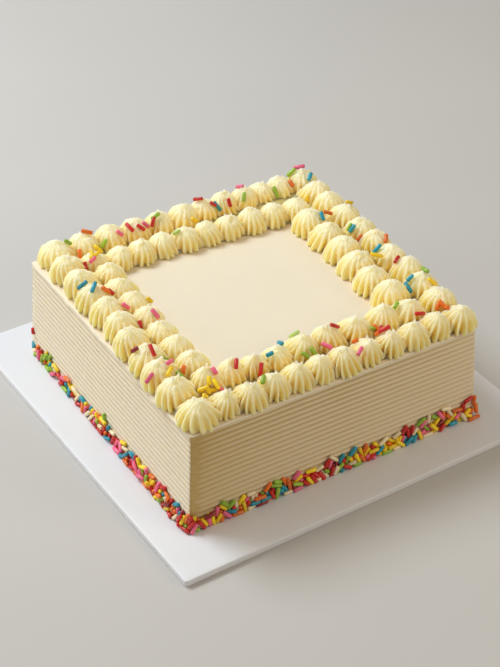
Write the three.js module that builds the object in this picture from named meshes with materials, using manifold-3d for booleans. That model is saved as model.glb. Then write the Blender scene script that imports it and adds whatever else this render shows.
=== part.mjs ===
// A square cake iced in pale buttercream, on its thin card board. Its sides are combed into level ridges,
// two rings of piped rosettes frame a smooth top, and sugar strands lie round the foot and over the rosettes.
// Millimetres, +Z up. The origin is at the middle of the board's underside.

import * as THREE from "three";
import { mergeVertices } from "three/addons/utils/BufferGeometryUtils.js";
import Module from "manifold-3d";

const wasm = await Module();
wasm.setup();

// Touching pieces stand this far apart
const GAP = 0.3;

// The card board, turned a little under the cake
const BOARD_WIDTH = 261;
const BOARD_DEPTH = 266;
const BOARD_THICKNESS = 4.5;
const BOARD_CORNER_RADIUS = 2;
const BOARD_EDGE_ROUNDING = 0.7;
const BOARD_TURN = THREE.MathUtils.degToRad(1.64);

// The cake. Its corners are taken at the top edge, from its own middle, and it is slightly out of square.
const CAKE_MIDDLE = new THREE.Vector2(0.4, 3.4);
const CAKE_HEIGHT = 66.5;
const CAKE_CORNERS = [
  new THREE.Vector2(-100, -100.4),
  new THREE.Vector2(100, -100.4),
  new THREE.Vector2(102.5, 98.5),
  new THREE.Vector2(-100, 100.4),
];
const CAKE_CORNER_RADIUS = 2.6;
const CAKE_CORNER_STEPS = 2;
const FOOT_FLARE = 3.2;
const TOP_EDGE_ROUNDING = 1.1;

// The combed icing on the sides. The ridges waver up and down by turns round the cake and up its side.
const COMB_PITCH = 3.55;
const COMB_DEPTH = 1.2;
const COMB_WAVER = { depth: 0.4, turn: 1.1, climb: 0.21 };
const SMOOTH_BAND = 5.2;

// The band of sugar strands round the foot: the core that they pack into, then the strands that show. They
// lie in tiers, each within a reach of its tier, its step along the side and the level line.
const BAND_HEIGHT = 7.6;
const BAND_THICKNESS = 1.2;
const BAND_STRANDS = 78;
const BAND_TIERS = [2, 4.5, 6.9, 9];
const BAND_TIER_REACH = 0.55;
const BAND_STEP_REACH = 0.3;
const BAND_SLANT_REACH = 0.95;
const BAND_SINK = 0.7;

// One sugar strand
const STRAND_RADIUS = 1.15;
const STRAND_LENGTH = { middle: 6.9, reach: 1.3 };
const STRAND_SIDES = 5;

// A rosette's profile as parts of its radius and height: foot, belly, shoulder and tip
const ROSETTE_PROFILE = [
  [0, 0],
  [0.87, 0],
  [1, 0.27],
  [0.76, 0.69],
  [0, 1],
];
const ROSETTE_RIDGES = 7;
const RIDGE_DEPTH = 0.13;

// The height of a rosette goes with its radius, and neighbours are pressed together by the overlap
const ROSETTE_HEIGHT_RATIO = 1.62;
const ROSETTE_OVERLAP = 1.17;

// How far single rosettes stray from the rule: size and height as parts, the rest in millimetres and turns
const STRAY = { size: 0.1, height: 0.05, sway: 1.2, tip: 1.2, twist: 0.3 };

// The two rings of rosettes. The corners are the middles of the corner rosettes, from the cake's middle, and
// the growth is their size beside the others. Each side of a ring, from the front anticlockwise, has a count
// with both its corners, a seed, a drift in size from its start to its end, and a number of strands. The tips
// lean outwards.
const SIDES = ["front", "right", "back", "left"];
const RINGS = {
  outer: {
    corners: [
      new THREE.Vector2(-91, -91),
      new THREE.Vector2(90.4, -92.4),
      new THREE.Vector2(95.6, 86),
      new THREE.Vector2(-86.8, 91.6),
    ],
    growth: [1.22, 1.07, 0.95, 1.14],
    counts: [12, 11, 12, 11],
    seeds: [1060, 7462, 2378, 3959],
    drifts: [0, -0.04, 0.1, 0],
    strands: [4, 3, 4, 4],
    tipLean: 1.6,
  },
  inner: {
    corners: [
      new THREE.Vector2(-71.2, -69.8),
      new THREE.Vector2(68.2, -72.4),
      new THREE.Vector2(73.4, 60.6),
      new THREE.Vector2(-70.2, 70.6),
    ],
    growth: [1, 1.07, 1.07, 1],
    counts: [9, 8, 10, 9],
    seeds: [8255, 835, 2760, 9629],
    drifts: [0.1, 0, 0, 0],
    strands: [4, 2, 3, 2],
    tipLean: 0.4,
  },
};

// The order of piping. Each later row gives way to the earlier ones where they would touch.
const PIPED_FIRST = ["outer_front", "outer_back", "outer_left", "outer_right"];
const PIPED_NEXT = ["inner_front", "inner_back", "inner_left", "inner_right"];

// A strand on a rosette lies on the slope that faces the valley between the rings: how far to either side of
// that way, how high on the rosette, how far in from its ridges, and how long beside one in the band
const SCATTER = { sideways: 0.9, height: 0.64, heightReach: 0.13, inset: 0.4, length: 0.85 };

// Colours
const CREAM = "#f3e7c4";
const PANEL_CREAM = "#f1e6c8";
const CARD_WHITE = "#f1f0ee";

// A draw from -1 to 1 that depends only on its seed, number and purpose, so that the unevenness is the same
// each time: the decimals of a large sine
const DRAW_STRIDES = { seed: 127.1, number: 311.7, purpose: 74.7 };
const DRAW_SPREAD = 43758.5453;
const PURPOSE = { size: 1, sway: 2, leanOut: 3, leanAlong: 4, height: 5, turn: 6, twist: 7 };
const BAND_SEED = 20;
const BAND_PURPOSE = { step: 1, tier: 2, slant: 3, length: 4 };
const SCATTER_PURPOSE = { sideways: 11, height: 12, spin: 13, length: 14 };

function stray(seed, number, purpose) {
  const stride = seed * DRAW_STRIDES.seed + number * DRAW_STRIDES.number + purpose * DRAW_STRIDES.purpose;
  const spread = Math.sin(stride) * DRAW_SPREAD;
  return 2 * (spread - Math.floor(spread)) - 1;
}

// A closed geometry as a solid that can be joined and cut. Triangles that close up at a pole are left out.
function toSolid(geometry) {
  const bare = geometry.clone();
  bare.deleteAttribute("normal");
  bare.deleteAttribute("uv");
  const merged = mergeVertices(bare, 1e-4);
  const corners = merged.index.array;
  const kept = [];
  for (let i = 0; i < corners.length; i += 3) {
    const [a, b, c] = corners.slice(i, i + 3);
    if (a !== b && b !== c && c !== a) kept.push(a, b, c);
  }
  return new wasm.Manifold(
    new wasm.Mesh({
      numProp: 3,
      vertProperties: new Float32Array(merged.attributes.position.array),
      triVerts: new Uint32Array(kept),
    }),
  );
}

// The largest body of a solid, with any scrap dropped and any sealed hollow filled
function largestBody(solid) {
  return solid.decompose().reduce((a, b) => (b.volume() > a.volume() ? b : a));
}

function toGeometry(solid) {
  const mesh = solid.getMesh();
  const points = new Float32Array(mesh.numVert * 3);
  for (let i = 0; i < mesh.numVert; i++) {
    points.set(mesh.vertProperties.subarray(i * mesh.numProp, i * mesh.numProp + 3), i * 3);
  }
  const geometry = new THREE.BufferGeometry();
  geometry.setAttribute("position", new THREE.BufferAttribute(points, 3));
  geometry.setIndex(new THREE.BufferAttribute(mesh.triVerts, 1));
  geometry.computeVertexNormals();
  return geometry;
}

// A turned form about Z whose profile is (radius, height) pairs. Every point is then placed by a rule of
// its side number, its level in the profile, and its radius and height there.
function mouldedForm(profile, sides, place) {
  const geometry = new THREE.LatheGeometry(profile, sides);
  const position = geometry.getAttribute("position");
  const point = new THREE.Vector3();
  for (let side = 0; side <= sides; side++) {
    for (let level = 0; level < profile.length; level++) {
      place(point, side % sides, level, profile[level].x, profile[level].y);
      position.setXYZ(side * profile.length + level, point.x, point.y, point.z);
    }
  }
  return geometry;
}

// The board: a flat card with rounded corners and edges
function boardGeometry() {
  const x = BOARD_WIDTH / 2 - BOARD_EDGE_ROUNDING;
  const y = BOARD_DEPTH / 2 - BOARD_EDGE_ROUNDING;
  const r = BOARD_CORNER_RADIUS;
  const outline = new THREE.Shape();
  outline.absarc(x - r, y - r, r, 0, Math.PI / 2);
  outline.absarc(r - x, y - r, r, Math.PI / 2, Math.PI);
  outline.absarc(r - x, r - y, r, Math.PI, Math.PI * 1.5);
  outline.absarc(x - r, r - y, r, Math.PI * 1.5, Math.PI * 2);
  const card = new THREE.ExtrudeGeometry(outline, {
    depth: BOARD_THICKNESS - 2 * BOARD_EDGE_ROUNDING,
    bevelSize: BOARD_EDGE_ROUNDING,
    bevelThickness: BOARD_EDGE_ROUNDING,
    bevelSegments: 1,
    curveSegments: 2,
  });
  card.translate(0, 0, BOARD_EDGE_ROUNDING);
  card.rotateZ(BOARD_TURN);
  return toGeometry(toSolid(card));
}

// A point of the cake's plan: side number, and how far outside the top edge the outline runs. Each corner
// is an arc, and straight sides join them.
const PLAN_SIDES = CAKE_CORNERS.length * (CAKE_CORNER_STEPS + 1);

function planPoint(side, outward) {
  const corner = Math.floor(side / (CAKE_CORNER_STEPS + 1));
  const step = side % (CAKE_CORNER_STEPS + 1);
  const turn = ((corner + step / CAKE_CORNER_STEPS) * Math.PI) / 2 + Math.PI;
  const radius = CAKE_CORNER_RADIUS;
  const tip = CAKE_CORNERS[corner];
  return new THREE.Vector2(
    tip.x + Math.sign(tip.x) * (outward - radius) + radius * Math.cos(turn),
    tip.y + Math.sign(tip.y) * (outward - radius) + radius * Math.sin(turn),
  );
}

// How far the icing stands outside the top edge at a height above the board
const flareAt = (height) => FOOT_FLARE * (1 - height / CAKE_HEIGHT);

// The profile of the iced side from the foot up: (outward, height) pairs
function sideProfile() {
  const levels = [
    [flareAt(0) + BAND_THICKNESS, GAP],
    [flareAt(BAND_HEIGHT) + BAND_THICKNESS, BAND_HEIGHT],
  ];
  const combTop = CAKE_HEIGHT - SMOOTH_BAND;
  const ridges = Math.floor((combTop - BAND_HEIGHT - COMB_PITCH / 2) / COMB_PITCH);
  for (let ridge = ridges; ridge >= 0; ridge--) {
    const groove = combTop - ridge * COMB_PITCH;
    levels.push([flareAt(groove) - COMB_DEPTH, groove]);
    const crest = groove + COMB_PITCH / 2;
    levels.push([flareAt(crest), crest]);
  }
  levels.push([0, CAKE_HEIGHT - TOP_EDGE_ROUNDING]);
  levels.push([-TOP_EDGE_ROUNDING, CAKE_HEIGHT]);
  return levels;
}

// The iced cake without its strands: the side's profile carried round the plan, closed below and above.
// Only the ridges between the band and the top edge waver.
function cakeForm() {
  const levels = sideProfile();
  const last = levels.length - 1;
  const profile = [new THREE.Vector2(0, levels[0][1])];
  levels.forEach(([, height]) => profile.push(new THREE.Vector2(1, height)));
  profile.push(new THREE.Vector2(0, levels[last][1]));
  return mouldedForm(profile, PLAN_SIDES, (point, side, level, radius, height) => {
    const inside = Math.min(Math.max(level - 1, 0), last);
    const plan = planPoint(side, levels[inside][0]);
    const combed = inside > 1 && inside < last - 1;
    const phase = side * COMB_WAVER.turn + height * COMB_WAVER.climb;
    const waver = combed ? COMB_WAVER.depth * Math.sin(phase) : 0;
    point.set(
      CAKE_MIDDLE.x + plan.x * radius,
      CAKE_MIDDLE.y + plan.y * radius,
      BOARD_THICKNESS + height + waver,
    );
  });
}

// One sugar strand, a short rod with its middle at a place and its length along a direction. Grown, it is
// thicker and longer by that much all round.
function strand(place, direction, length, growth = 0) {
  const radius = STRAND_RADIUS + growth;
  const rod = new THREE.CylinderGeometry(radius, radius, length + 2 * growth, STRAND_SIDES);
  const turn = new THREE.Quaternion();
  turn.setFromUnitVectors(new THREE.Vector3(0, 1, 0), direction.clone().normalize());
  rod.applyQuaternion(turn);
  rod.translate(place.x, place.y, place.z);
  return toSolid(rod);
}

const strandLength = (draw) => STRAND_LENGTH.middle + STRAND_LENGTH.reach * draw;

// The strands round the foot, stepped evenly along the four sides and through the tiers of the band.
// Each lies against the band at a slant of its own, at most as steep as its height over the board allows.
function bandStrands() {
  const strands = [];
  for (let i = 0; i < BAND_STRANDS; i++) {
    const [step, tier, slantDraw, lengthDraw] = Object.values(BAND_PURPOSE).map((purpose) =>
      stray(BAND_SEED, i, purpose),
    );
    const along = ((i + 0.5 + BAND_STEP_REACH * step) / BAND_STRANDS) * CAKE_CORNERS.length;
    const corner = Math.floor(along);
    const tip = CAKE_CORNERS[corner];
    const next = CAKE_CORNERS[(corner + 1) % CAKE_CORNERS.length];
    const run = new THREE.Vector2().subVectors(next, tip);
    const tangent = run.clone().normalize();
    const outward = new THREE.Vector2(tangent.y, -tangent.x);
    const height = BAND_TIERS[i % BAND_TIERS.length] + BAND_TIER_REACH * tier;
    const backing = flareAt(height) + (height > BAND_HEIGHT ? 0 : BAND_THICKNESS);
    const standOff = backing + STRAND_RADIUS - BAND_SINK;
    const plan = run.multiplyScalar(along - corner).add(tip).addScaledVector(outward, standOff);
    const slant = BAND_SLANT_REACH * slantDraw;
    const direction = new THREE.Vector3(
      tangent.x * Math.cos(slant),
      tangent.y * Math.cos(slant),
      Math.sin(slant),
    );
    const place = new THREE.Vector3(
      CAKE_MIDDLE.x + plan.x,
      CAKE_MIDDLE.y + plan.y,
      BOARD_THICKNESS + height,
    );
    strands.push(strand(place, direction, strandLength(lengthDraw)));
  }
  return strands;
}

// Everything above the gap over the board, as a box for trimming
function spaceAboveBoard() {
  const reach = Math.max(BOARD_WIDTH, BOARD_DEPTH);
  const floor = BOARD_THICKNESS + GAP;
  const box = new THREE.BoxGeometry(2 * reach, 2 * reach, 2 * CAKE_HEIGHT);
  box.translate(0, 0, floor + CAKE_HEIGHT);
  return toSolid(box);
}

function icedCakeGeometry() {
  const joined = bandStrands().reduce((whole, piece) => whole.add(piece), toSolid(cakeForm()));
  return toGeometry(largestBody(joined.intersect(spaceAboveBoard())));
}

// One rosette: a ribbed dome that bellies out low and draws up to a leaning tip. Grown, its surface stands
// that much further out.
function rosetteSolid(rosette, growth) {
  const profile = ROSETTE_PROFILE.map(([radius, height]) => new THREE.Vector2(radius, height));
  const sides = ROSETTE_RIDGES * 2;
  const form = mouldedForm(profile, sides, (point, side, level, radius, height) => {
    const groove = side % 2 ? 1 - RIDGE_DEPTH : 1;
    const angle = (side / sides) * Math.PI * 2 + rosette.turn + rosette.twist * height;
    const reach = (rosette.radius * groove + growth) * radius;
    point.set(
      rosette.x + reach * Math.cos(angle) + rosette.lean.x * height * height,
      rosette.y + reach * Math.sin(angle) + rosette.lean.y * height * height,
      BOARD_THICKNESS + CAKE_HEIGHT + GAP - growth + (rosette.height + 2 * growth) * height,
    );
  });
  return toSolid(form);
}

// The rosettes on one side of a ring, from one corner to the next. Their sizes vary, each step is as long
// as two neighbours' radii together, and the steps add up to the side's length.
function rowOfRosettes(ring, side) {
  const next = (side + 1) % SIDES.length;
  const count = ring.counts[side];
  const last = count - 1;
  const seed = ring.seeds[side];
  const sizes = [ring.growth[side]];
  for (let i = 1; i < last; i++) {
    const drifted = 1 + ring.drifts[side] * ((2 * i) / last - 1);
    sizes.push(drifted * (1 + STRAY.size * stray(seed, i, PURPOSE.size)));
  }
  sizes.push(ring.growth[next]);
  const places = [0];
  for (let i = 1; i < count; i++) places.push(places[i - 1] + (sizes[i - 1] + sizes[i]) / 2);
  const start = ring.corners[side];
  const run = new THREE.Vector2().subVectors(ring.corners[next], start);
  const step = run.length() / places[last];
  const along = run.clone().normalize();
  const outward = new THREE.Vector2(along.y, -along.x);
  return sizes.map((size, i) => {
    const radius = (step * size * ROSETTE_OVERLAP) / 2;
    const middle = CAKE_MIDDLE.clone().add(start).addScaledVector(run, places[i] / places[last]);
    middle.addScaledVector(outward, STRAY.sway * stray(seed, i, PURPOSE.sway));
    const leanOut = ring.tipLean + STRAY.tip * stray(seed, i, PURPOSE.leanOut);
    const lean = outward.clone().multiplyScalar(leanOut);
    lean.addScaledVector(along, STRAY.tip * stray(seed, i, PURPOSE.leanAlong));
    return {
      x: middle.x,
      y: middle.y,
      radius,
      height: radius * ROSETTE_HEIGHT_RATIO * (1 + STRAY.height * stray(seed, i, PURPOSE.height)),
      turn: Math.PI * stray(seed, i, PURPOSE.turn),
      twist: STRAY.twist * stray(seed, i, PURPOSE.twist),
      lean,
      outward,
    };
  });
}

// The radius of a rosette's profile at a height, both as parts of the whole
function profileRadius(height) {
  const upper = ROSETTE_PROFILE.findIndex(([, level]) => level > height);
  const [lowRadius, low] = ROSETTE_PROFILE[upper - 1];
  const [highRadius, high] = ROSETTE_PROFILE[upper];
  return lowRadius + ((highRadius - lowRadius) * (height - low)) / (high - low);
}

// Strands on a row of rosettes, stepped evenly along it. Each lies on the slope of a rosette that faces
// the valley between the rings, half sunk in the icing.
function rowStrands(row, growth) {
  const { ring, side, rosettes } = row;
  const valleyWay = ring === RINGS.outer ? -1 : 1;
  const strands = [];
  for (let i = 0; i < ring.strands[side]; i++) {
    const [sideways, heightDraw, spinDraw, lengthDraw] = Object.values(SCATTER_PURPOSE).map((purpose) =>
      stray(ring.seeds[side], i, purpose),
    );
    const rosette = rosettes[Math.floor(((i + 0.5) / ring.strands[side]) * rosettes.length)];
    const facing = Math.atan2(rosette.outward.y * valleyWay, rosette.outward.x * valleyWay);
    const angle = facing + SCATTER.sideways * sideways;
    const height = SCATTER.height + SCATTER.heightReach * heightDraw;
    const reach = rosette.radius * profileRadius(height) - SCATTER.inset;
    const place = new THREE.Vector3(
      rosette.x + rosette.lean.x * height * height + reach * Math.cos(angle),
      rosette.y + rosette.lean.y * height * height + reach * Math.sin(angle),
      BOARD_THICKNESS + CAKE_HEIGHT + GAP + rosette.height * height,
    );
    const around = new THREE.Vector3(-Math.sin(angle), Math.cos(angle), 0);
    const upSlope = new THREE.Vector3(-Math.cos(angle), -Math.sin(angle), 1).normalize();
    const spin = Math.PI * spinDraw;
    const direction = around.multiplyScalar(Math.cos(spin)).addScaledVector(upSlope, Math.sin(spin));
    strands.push(strand(place, direction, strandLength(lengthDraw) * SCATTER.length, growth));
  }
  return strands;
}

// The rows of both rings by name. The front and back rows keep the corners, and the left and right rows lose
// their first and last rosette to them.
const rows = {};
for (const [ringName, ring] of Object.entries(RINGS)) {
  SIDES.forEach((sideName, side) => {
    const all = rowOfRosettes(ring, side);
    const keepsCorners = side % 2 === 0;
    rows[`${ringName}_${sideName}`] = { ring, side, rosettes: keepsCorners ? all : all.slice(1, -1) };
  });
}

// A row's rosettes and strands joined
function rowSolid(row, growth) {
  const pieces = row.rosettes.map((rosette) => rosetteSolid(rosette, growth));
  pieces.push(...rowStrands(row, growth));
  return pieces.reduce((whole, piece) => whole.add(piece));
}

function mesh(name, geometry, colour, roughness) {
  const material = new THREE.MeshStandardMaterial({ color: colour, roughness, metalness: 0 });
  const made = new THREE.Mesh(geometry, material);
  made.name = name;
  return made;
}

const ribbonCake = new THREE.Group();
ribbonCake.add(mesh("cake_board", boardGeometry(), CARD_WHITE, 0.55));
ribbonCake.add(mesh("iced_cake", icedCakeGeometry(), PANEL_CREAM, 0.6));

let taken = null;
for (const name of [...PIPED_FIRST, ...PIPED_NEXT]) {
  const whole = rowSolid(rows[name], 0);
  const row = taken ? whole.subtract(taken) : whole;
  ribbonCake.add(mesh(name, toGeometry(largestBody(row)), CREAM, 0.6));
  const grown = rowSolid(rows[name], GAP);
  taken = taken ? taken.add(grown) : grown;
}

export default ribbonCake;
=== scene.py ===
"""Looks of a square ribbon cake: buttercream combed on the sides and piped in two rings on top, sugar strands
round the foot and over the piping, and a white card board. Shapes are worked out in millimetres and put into
the meshes in metres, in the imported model's own frame."""

import itertools
import math
from functools import partial

import bpy
import numpy as np
from mathutils import Matrix, Vector


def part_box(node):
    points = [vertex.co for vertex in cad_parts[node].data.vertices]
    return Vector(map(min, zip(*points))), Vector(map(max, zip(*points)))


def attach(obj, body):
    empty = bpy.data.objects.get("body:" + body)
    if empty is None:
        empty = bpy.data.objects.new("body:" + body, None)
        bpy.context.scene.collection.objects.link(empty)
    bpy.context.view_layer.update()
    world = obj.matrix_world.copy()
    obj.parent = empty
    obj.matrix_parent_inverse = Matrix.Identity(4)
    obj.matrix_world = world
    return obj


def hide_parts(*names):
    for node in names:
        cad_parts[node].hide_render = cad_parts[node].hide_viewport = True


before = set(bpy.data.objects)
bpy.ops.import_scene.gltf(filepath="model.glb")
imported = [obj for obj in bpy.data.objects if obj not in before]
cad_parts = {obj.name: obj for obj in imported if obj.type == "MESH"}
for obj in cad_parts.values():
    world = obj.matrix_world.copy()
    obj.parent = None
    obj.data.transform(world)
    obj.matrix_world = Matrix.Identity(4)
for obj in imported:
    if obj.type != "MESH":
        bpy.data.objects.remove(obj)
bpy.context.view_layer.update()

bl_info = {
    "name": "Ribbon cake",
    "version": (1, 0, 0),
    "blender": (4, 5, 0),
    "location": "3D View > Sidebar > Ribbon cake",
    "description": "Builds the icing, piping, sugar strands and board of a square ribbon cake",
    "category": "Object",
}

MM = 0.001

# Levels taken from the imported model: the board's top, the cake's top edge
BOARD_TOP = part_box("cake_board")[1].z / MM
CAKE_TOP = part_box("iced_cake")[1].z / MM
CAKE_HEIGHT = CAKE_TOP - BOARD_TOP

# The board, turned a little under the cake
BOARD_SIZE = np.array([261, 266])
BOARD_CORNER_RADIUS = 2
BOARD_EDGE_ROUNDING = 0.7
BOARD_TURN = math.radians(1.64)

# The cake's plan. Corners are taken at the top edge, from the cake's own middle: near, right, far, left. Each
# side starts at the corner of its number, and lists of four values go by side.
SIDES = ["front", "right", "back", "left"]
CAKE_MIDDLE = np.array([0.4, 3.4])
CAKE_CORNERS = np.array([[-101.1, -101.4], [100.9, -101.4], [104, 99.6], [-101.5, 101.6]])
SIDE_RUNS = np.roll(CAKE_CORNERS, -1, 0) - CAKE_CORNERS
SIDE_LENGTHS = np.linalg.norm(SIDE_RUNS, axis=1)
SIDE_WAYS = SIDE_RUNS / SIDE_LENGTHS[:, None]
CORNER_RADIUS = 2.6
FOOT_GAP = 0.3
FOOT_FLARE = 3.2
TOP_EDGE_ROUNDING = 1.1

# The comb's stroke on each side, from its first corner to its last. In millimetres: the smooth band under the
# top edge, the smooth strip where the comb was set down, and how far ridges are dragged past the end. The
# others are parts; the last two are painted shade in the grooves' colour, over the whole side and near its
# start.
COMB = {
    "band": [3.6, 3.0, 3.0, 0.8],
    "strip": [4.0, 3.0, 4.0, 1.2],
    "dragged": [0.0, 0.3, 0.3, 1.7],
    "band_at_start": [0.1, 0.6, 0.6, 1.2],
    "band_at_end": [0.4, 0.7, 0.7, 1.0],
    "pressure": [0.95, 1.0, 1.0, 0.63],
    "spacing": [1.0, 1.0, 1.0, 1.06],
    "lost_at_end": [0.75, 0.3, 0.3, 0.0],
    "sharpness": [0.95, 0.75, 0.6, 0.55],
    "ragged_lip": [0.9, 1.0, 1.0, 2.4],
    "tint": [0.38, 0.1, 0.1, 0.0],
    "shade_at_start": [0.8, 0.3, 0.3, 0.0],
}
FIRST_GROOVE_DOWN = 4.4
LIP = 0.5
LIP_DOWN = 1.8
LIP_WIDTH = 0.9

# Lengths over which the comb's marks, and the painted shade near a side's start, come and go
BAND_TAPER = 45
BAND_EDGE = 0.9
STRIP_EDGE = 1.4
UNDER_TOP_EDGE = 1.2
LIFT_OFF = 6
DRAG = 1.5
SHADE_FADE = 45
START_SHADE_FADE = 9

# Unevenness of the icing as layers of waves: height, length and seed
DRIFT_WAVES = [(0.3, 60, 3), (0.09, 17, 4)]
BAND_WAVES = [(0.7, 31, 6), (0.4, 8, 7)]
PRESSURE_WAVES = [(0.1, 23, 8)]
LIP_LEVEL_WAVES = [(0.8, 14, 9)]
LIP_WAVES = [(0.5, 12, 10), (0.3, 5, 11)]
SIDE_WAVES = [(0.2, 44, 12)]
TOP_WAVES = [(0.14, 34, 12), (0.07, 11, 13)]
BED_WAVES = [(0.16, 6, 71)]

# How finely the iced body is drawn
CORNER_COLUMNS = 9
SIDE_COLUMNS = 71
BODY_ROWS = 216
EDGE_ROWS = 7
TOP_ROWS = 33

# The piping. The corners are the middles of the corner rosettes, from the cake's middle, and the growth is
# their size beside the others. Each side of a ring has a count with both its corners, a seed and a drift in
# size from its start to its end. The tips lean outwards by the lean. A separate script picked each seed out
# of 9,998, as the one whose rosette tips come closest to those marked in the photograph.
RINGS = {
    "outer": {
        "corners": np.array([[-91, -91], [91.6, -92.6], [96, 88.2], [-86.8, 91.9]]),
        "growth": [1.22, 1.1, 1.08, 1.14],
        "counts": [12, 11, 12, 11],
        "seeds": [1060, 7462, 2378, 3959],
        "drifts": [0, -0.04, 0.05, 0],
        "lean": 1.6,
    },
    "inner": {
        "corners": np.array([[-71.2, -69.8], [68.2, -72.4], [73.4, 60.6], [-70.2, 70.6]]),
        "growth": [1, 1.07, 1.07, 1],
        "counts": [9, 8, 10, 9],
        "seeds": [8255, 835, 2760, 9629],
        "drifts": [0.1, 0, 0, 0],
        "lean": 0.4,
    },
}
ROSETTE_HEIGHT_RATIO = 1.48
ROW_HEIGHTS = [1.0, 0.94, 0.96, 0.98]
ROSETTE_OVERLAP = 1.36
SIZE_EVENED = 0.5
HEIGHT_EVENED = 0.2
NEAR_CORNER_SHIFT = [1.2, -0.8]
# Rosettes of the back row that stand lower, by their number from the right
LOWER_AT_BACK = {1: 0.84, 2: 0.87, 3: 0.94, 10: 0.9, 11: 0.96}
# The most that each trait of a rosette strays. Its draw has the trait's number in this list as its purpose.
STRAYS = {
    "size": 0.1,
    "sway": 1.2,
    "lean_out": 1.6,
    "lean_along": 1.6,
    "height": 0.05,
    "turn": math.pi,
    "twist": 0.3,
}

# A rosette's profile: the belly's height and how far the foot draws in under it, as parts of the height and
# radius, and the foot's power. By side: the dome's power and rounding, the ridges' relief and the crown's
# height in millimetres.
BELLY = 0.17
FOOT_DRAW_IN = 0.1
FOOT_POWER = 1.8
DOMES = {
    "power": [1.9, 2.0, 2.1, 2.0],
    "rounding": [0.76, 0.58, 0.6, 0.64],
    "relief": [1.0, 0.88, 0.72, 0.84],
    "crown": [2.2, 1.4, 1.4, 1.9],
}
FOOT_SUNK = 0.5
PIPING_FOOT = CAKE_TOP - FOOT_SUNK

# A rosette's finer form: the nib's height in millimetres, widths and places as parts of the radius, and
# roughness as a strength and size in millimetres, a seed and its upward part
RIDGE_WIDTH_STRAY = 0.26
RIDGE_CUT_STRAY = 0.38
RIDGE_SWELL = 0.07
OVAL = 0.025
NIB_HEIGHT = 1.1
NIB_STRAY = 0.7
NIB_WIDTH = 0.14
CROWN_STRAY = 0.45
CROWN_PLACE = 0.18
CROWN_WIDTH = 0.09
RAGGED_TIP = (0.9, 2.2, 26, 0.8)
DENTS = (0.4, 6.5, 29, 0.5)
CRUMBS = (0.14, 1.5, 32, 1)

# How finely a rosette is drawn
BELLY_ROWS = 9
DOME_ROWS = 32
RIDGE_SAMPLES = 8

# The bed of buttercream under each row: its part of the rosettes' height, its reach into the valley and to
# the other side, the power of its arch, and how many rosettes it goes on past a row without corners
BED_SHARE = 0.24
BED_WIDTHS = [12.5, 6.8]
BED_ARCH = 0.7
BED_BEYOND = 1.1
BED_COLUMNS = 25

# Sugar strands seen on the piping, by row. Each is the rosette's number in its row, a colour's letter and the
# place round the rosette as the hour on a clock with 12 at the back of the cake. A capital lies low in the
# valley, a small letter on the slope, and one with an apostrophe close to the tip. An hour after > is the way
# the strand points. A separate script worked out most of the hours from places marked in the photograph.
PIPING_STRANDS = {
    "outer_back": "0O8.5 0g10 0t5.7 0p'12 1G7.7 3g7 3p'11.5 4T8 4r6 5r4.8 5r'10 6Y5.3 7r8 7g'8 8r8 8r6 8p4.7"
    " 9G7.7 9p5 10O7.4 10Y4.9 10o'2 11g3",
    "inner_back": "5l9 9y'8 9y'7 9p7.4",
    "outer_left": "0R4.3 2t'7>7.6 2t10.6>3.6 2o4.5 6d9.9 6r'5.8 6G5 7P8.4 7y5.9 7p'4 7G4.8",
    "inner_left": "1R7.9 2Y3.8 2P7.8 3R7.7 3p5.4 6O8",
    "outer_front": "0y2 3g9>1.4 7o10.8 7P7.9 8r'11 8o11 11o10.8",
    "inner_front": "0p'4.6>5.7 0Y7 0Y6.6 0Y6.1 0Y7.5 0y6.8 0P5.6>3.7 1r'5.4>1.1 2R6.3>7.3 3t8.4>3.8 3t'2>5.9"
    " 4G5.6>4.8 4G6.6 4l12 5P7.3 5r'3>2.9 6G4.5 7R7.3 7O7.6 8g9.4 8R5.8",
    "outer_right": "0O7.3 0O6.9 1t9.8 1T8.9 1y5.3 1g'2 2r10.9 3t10.3 3Y8.7 4o5.2 5g9 5t8.4 5O7.2 6O9.4 6y'3"
    " 8Y8",
    "inner_right": "5t4.9>6.3",
}
REACH = {"low": 0.88, "slope": 0.62, "tip": 0.34}
STRAND_COLOURS = ["red", "dark_red", "orange", "yellow", "green", "lime", "teal", "pink"]
# The steepest slope a strand lies on, and how far its line is over the piping as a part of its radius
STEEPEST = 1.3
STRAND_RAISED = 0.45

# The band of strands round the foot. Fullness and density are those at the sides' first corners, the front
# is heaped fuller towards its end, and strands lie only on a stretch of each side.
BAND_COLOURS = ["red", "orange", "yellow", "green", "teal", "pink", "dark_red", "cream"]
BAND_SHARES = [0.16, 0.18, 0.17, 0.11, 0.12, 0.13, 0.03, 0.1]
BAND_FULLNESS = [0.9, 1.25, 1.0, 0.4]
BAND_DENSITY = [1.0, 1.0, 0.9, 0.5]
BAND_FROM = [0.0, 0.03, 0.0, 0.045]
BAND_TO = [0.968, 1.0, 0.9, 1.0]
BAND_HEAPED_FROM = 0.72
BAND_HEAPED = 0.35
BAND_TOP = 10.2
BAND_TOP_REACH = 2.6
BAND_OUTER_SHARE = 0.42
BAND_PAST_CORNER = 0.022
BAND_SEED = 20
# Easing the strands apart: rounds, strands in the band for each further neighbour looked at, how close two
# may lie as a part of their thickness, the push on each, how near the side ends may come as a part of the
# radius, and how strongly they are drawn back to it
BAND_ROUNDS = 90
STRANDS_A_NEIGHBOUR = 80.5
CLOSEST = 0.94
PUSH = 0.4
NEAREST_SIDE = 0.75
DRAWN_BACK = 0.06

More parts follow.
